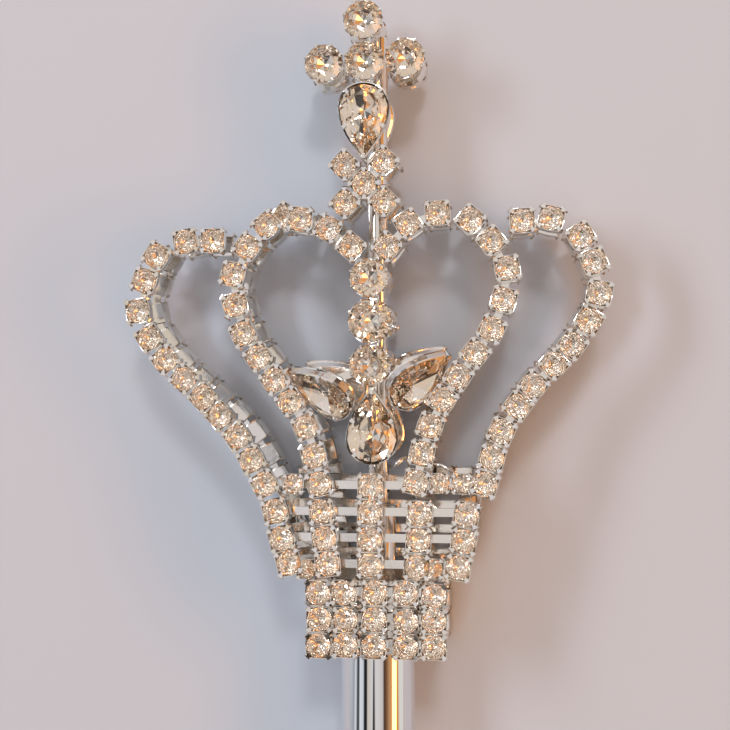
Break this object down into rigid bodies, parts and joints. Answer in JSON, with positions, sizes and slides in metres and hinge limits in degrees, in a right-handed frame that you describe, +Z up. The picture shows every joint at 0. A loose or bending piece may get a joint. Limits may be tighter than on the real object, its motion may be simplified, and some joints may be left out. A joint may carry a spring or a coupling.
{
  "type": "rhinestone crown sceptre",
  "caption": "Slim chrome staff with a two-sided crown of rhinestone cup chain, a hanging drop of large stones and a stone-set cross; it lies on its back.",
  "frame": {"origin": "on the surface the sceptre lies on, under the middle of its bounding box", "axes": "+Y along the staff towards the cross, +X across the crown to the viewer's right, +Z up out of the crown's front face"},
  "size_m": [0.082, 0.4982, 0.0218],
  "materials": {
    "chrome_plate": "bright chrome plate, polished",
    "silver_plate": "bright silver-coloured plate on stamped and cast brass",
    "crystal": "faceted clear glass, polished"
  },
  "bodies": {
    "root": {"staff_tube": "chrome_plate", "stem_socket": "silver_plate", "stem_rod": "silver_plate", "pommel": "chrome_plate", "base_band_1": "silver_plate", "base_band_2": "silver_plate", "base_band_3": "silver_plate", "base_band_4": "silver_plate", "collar_band": "silver_plate", "front_arch_left_outer": "silver_plate", "front_arch_left_inner": "silver_plate", "front_arch_right_inner": "silver_plate", "front_arch_right_outer": "silver_plate", "front_base_column_1": "silver_plate", "front_base_column_2": "silver_plate", "front_base_column_3": "silver_plate", "front_base_column_4": "silver_plate", "front_base_column_5": "silver_plate", "front_ring_cups_left": "silver_plate", "front_ring_cups_right": "silver_plate", "front_collar_chain": "silver_plate", "front_lattice": "silver_plate", "rear_arch_left_outer": "silver_plate", "rear_arch_left_inner": "silver_plate", "rear_arch_right_inner": "silver_plate", "rear_arch_right_outer": "silver_plate", "rear_base_column_1": "silver_plate", "rear_base_column_2": "silver_plate", "rear_base_column_3": "silver_plate", "rear_base_column_4": "silver_plate", "rear_base_column_5": "silver_plate", "rear_ring_cups_left": "silver_plate", "rear_ring_cups_right": "silver_plate", "rear_collar_chain": "silver_plate", "rear_lattice": "silver_plate", "cross_top_setting": "silver_plate", "cross_top_stone": "crystal", "cross_centre_setting": "silver_plate", "cross_centre_stone": "crystal", "cross_left_setting": "silver_plate", "cross_left_stone": "crystal", "cross_right_setting": "silver_plate", "cross_right_stone": "crystal", "cross_pear_setting": "silver_plate", "cross_pear_stone": "crystal", "drop_upper_setting": "silver_plate", "drop_upper_stone": "crystal", "drop_middle_setting": "silver_plate", "drop_middle_stone": "crystal", "drop_lower_setting": "silver_plate", "drop_lower_stone": "crystal", "pear_centre_setting": "silver_plate", "pear_centre_stone": "crystal", "pear_left_setting": "silver_plate", "pear_left_stone": "crystal", "pear_right_setting": "silver_plate", "pear_right_stone": "crystal", "drop_wire": "silver_plate", "rear_cross": "silver_plate", "rear_drop": "silver_plate"}
  },
  "joints": []
}
